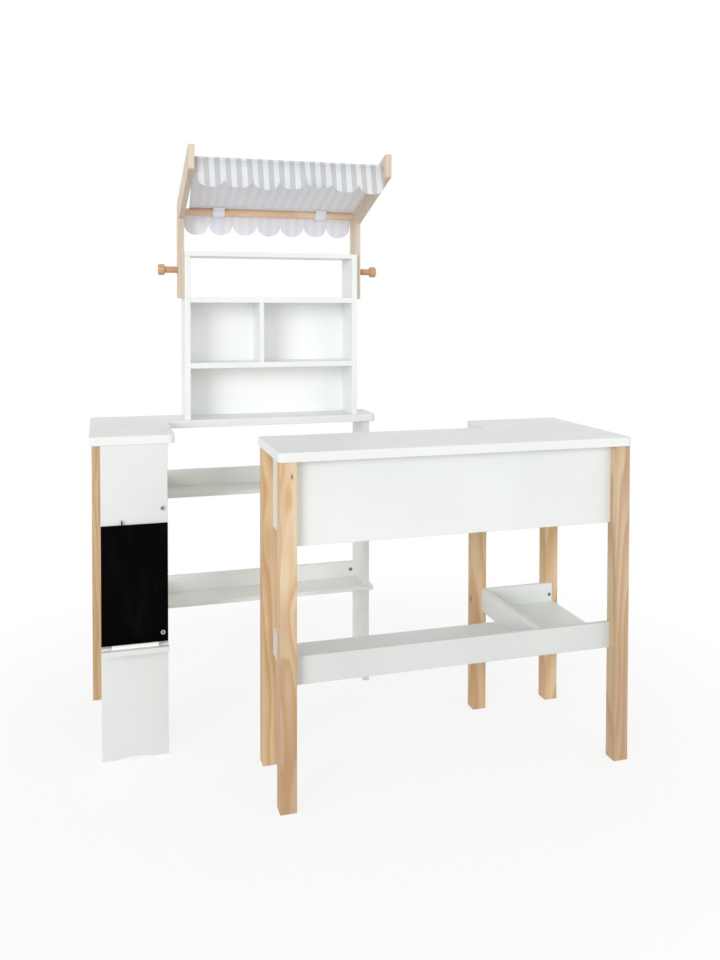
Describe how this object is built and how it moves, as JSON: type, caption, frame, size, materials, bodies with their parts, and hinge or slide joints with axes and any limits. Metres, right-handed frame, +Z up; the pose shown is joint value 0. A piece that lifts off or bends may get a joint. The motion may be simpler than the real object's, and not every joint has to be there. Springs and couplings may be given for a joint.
{
  "type": "toy market stall",
  "caption": "Child-height wooden play shop: an L-shaped stand with cabinet, chalkboard panel and striped scalloped awning, and a separate L-shaped counter with a low tray",
  "frame": {"origin": "on the floor under the middle of the box round both units", "axes": "+X to the right as the customer stands in front of the counter, +Y away from the customer, +Z up"},
  "size_m": [0.909, 0.544, 1.0842],
  "materials": {
    "white_board": "satin white paint on board",
    "pine": "clear-lacquered pine",
    "turned_wood": "clear-lacquered turned wood",
    "dowel_wood": "plain",
    "chalkboard_black": "matt black writing paint on thin board",
    "chalk_white": "dry matt",
    "hook_black": "black",
    "bolt_steel": "zinc plated",
    "striped_cloth": "plain weave, grey and white stripes",
    "strap_white": "hook-and-loop tape"
  },
  "bodies": {
    "stand": {"stand_worktop": "white_board", "chalkboard_panel": "white_board", "chalkboard": "chalkboard_black", "chalk_ledge": "white_board", "board_hook": "hook_black", "stand_left_leg": "pine", "stand_right_leg": "white_board", "upper_shelf_board": "white_board", "lower_shelf_board": "white_board", "upper_shelf_rail": "white_board", "lower_shelf_rail": "white_board", "upper_arm_rail": "white_board", "lower_arm_rail": "white_board", "upper_arm_board": "white_board", "lower_arm_board": "white_board", "cabinet_left_side": "white_board", "cabinet_right_side": "white_board", "cabinet_top": "white_board", "cabinet_upper_shelf": "white_board", "cabinet_lower_shelf": "white_board", "cabinet_divider": "white_board", "cabinet_back_panel": "white_board", "left_awning_post": "pine", "right_awning_post": "pine", "left_hanging_peg": "turned_wood", "right_hanging_peg": "turned_wood", "front_awning_rod": "turned_wood", "rear_awning_rod": "turned_wood", "awning_cloth": "striped_cloth", "cloth_straps": "strap_white", "stand_bolts": "bolt_steel", "stand_barrel_nuts": "bolt_steel", "stand_dowels": "dowel_wood", "cabinet_dowels": "dowel_wood"},
    "chalk": {"chalk_stick": "chalk_white"},
    "counter": {"counter_worktop": "white_board", "front_left_leg": "pine", "back_left_leg": "pine", "front_right_leg": "pine", "arm_left_leg": "pine", "arm_right_leg": "pine", "front_apron": "white_board", "left_apron": "white_board", "right_apron": "white_board", "tray_front_rail": "white_board", "tray_left_rail": "white_board", "arm_inner_rail": "white_board", "arm_back_rail": "white_board", "tray_floor": "white_board", "arm_floor": "white_board", "tray_screw": "bolt_steel", "counter_dowels": "dowel_wood"}
  },
  "joints": [
    {"name": "chalk_lift", "type": "slide", "parent": "stand", "child": "chalk", "axis": [0, 0, 1], "range_m": [0, 0.1]},
    {"name": "counter_slide", "type": "slide", "parent": "stand", "child": "counter", "axis": [0, 1, 0], "range_m": [-0.2, 0.15]}
  ]
}
